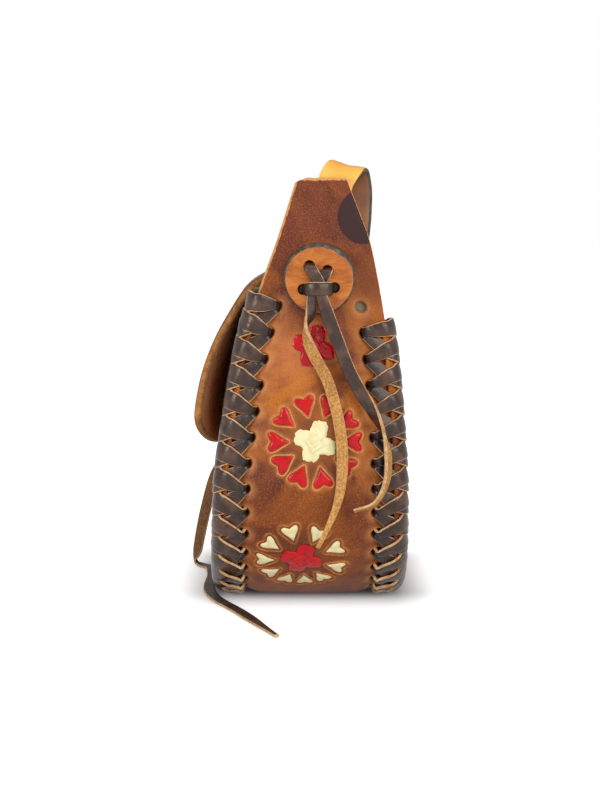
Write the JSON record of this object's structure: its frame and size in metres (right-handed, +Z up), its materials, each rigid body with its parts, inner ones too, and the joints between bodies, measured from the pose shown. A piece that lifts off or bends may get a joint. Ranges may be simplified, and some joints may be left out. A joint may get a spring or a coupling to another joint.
{
  "type": "crossbody bag",
  "caption": "Tooled leather crossbody bag with cross-laced seams, a fold-over flap, wooden buttons on its end tabs, hanging thongs and a shoulder strap folded inside.",
  "frame": {"origin": "middle of the gusset's flat bottom face, on which the bag stands", "axes": "+X along the bag toward the right-hand end, -Y toward the front over which the flap hangs, +Z up"},
  "size_m": [0.2542, 0.1097, 0.2118],
  "materials": {
    "body_leather": "tooled, mottled, satin",
    "flap_leather": "mottled, satin",
    "lace": "dark grain, tan cut edges",
    "thong_suede": "suede",
    "thong_grain": "dark grain",
    "strap_leather": "smooth, golden",
    "button_wood": "lacquered"
  },
  "bodies": {
    "bag": {"gusset": "body_leather", "front_panel": "body_leather", "back_panel": "body_leather", "front_lace_a": "lace", "front_lace_b": "lace", "back_lace_a": "lace", "back_lace_b": "lace", "right_button": "button_wood", "left_button": "button_wood", "right_button_tie": "lace", "left_button_tie": "lace", "right_long_thong": "thong_suede", "left_long_thong": "thong_suede", "right_short_thong": "thong_grain", "left_short_thong": "thong_grain", "closure_thong": "thong_suede", "shoulder_strap": "strap_leather"},
    "flap": {"flap": "flap_leather"}
  },
  "joints": [
    {"name": "flap_hinge", "type": "hinge", "parent": "bag", "child": "flap", "pos_m": [0, 0.0327, 0.15215], "axis": [-1, 0, 0], "range_deg": [0, 160]}
  ]
}
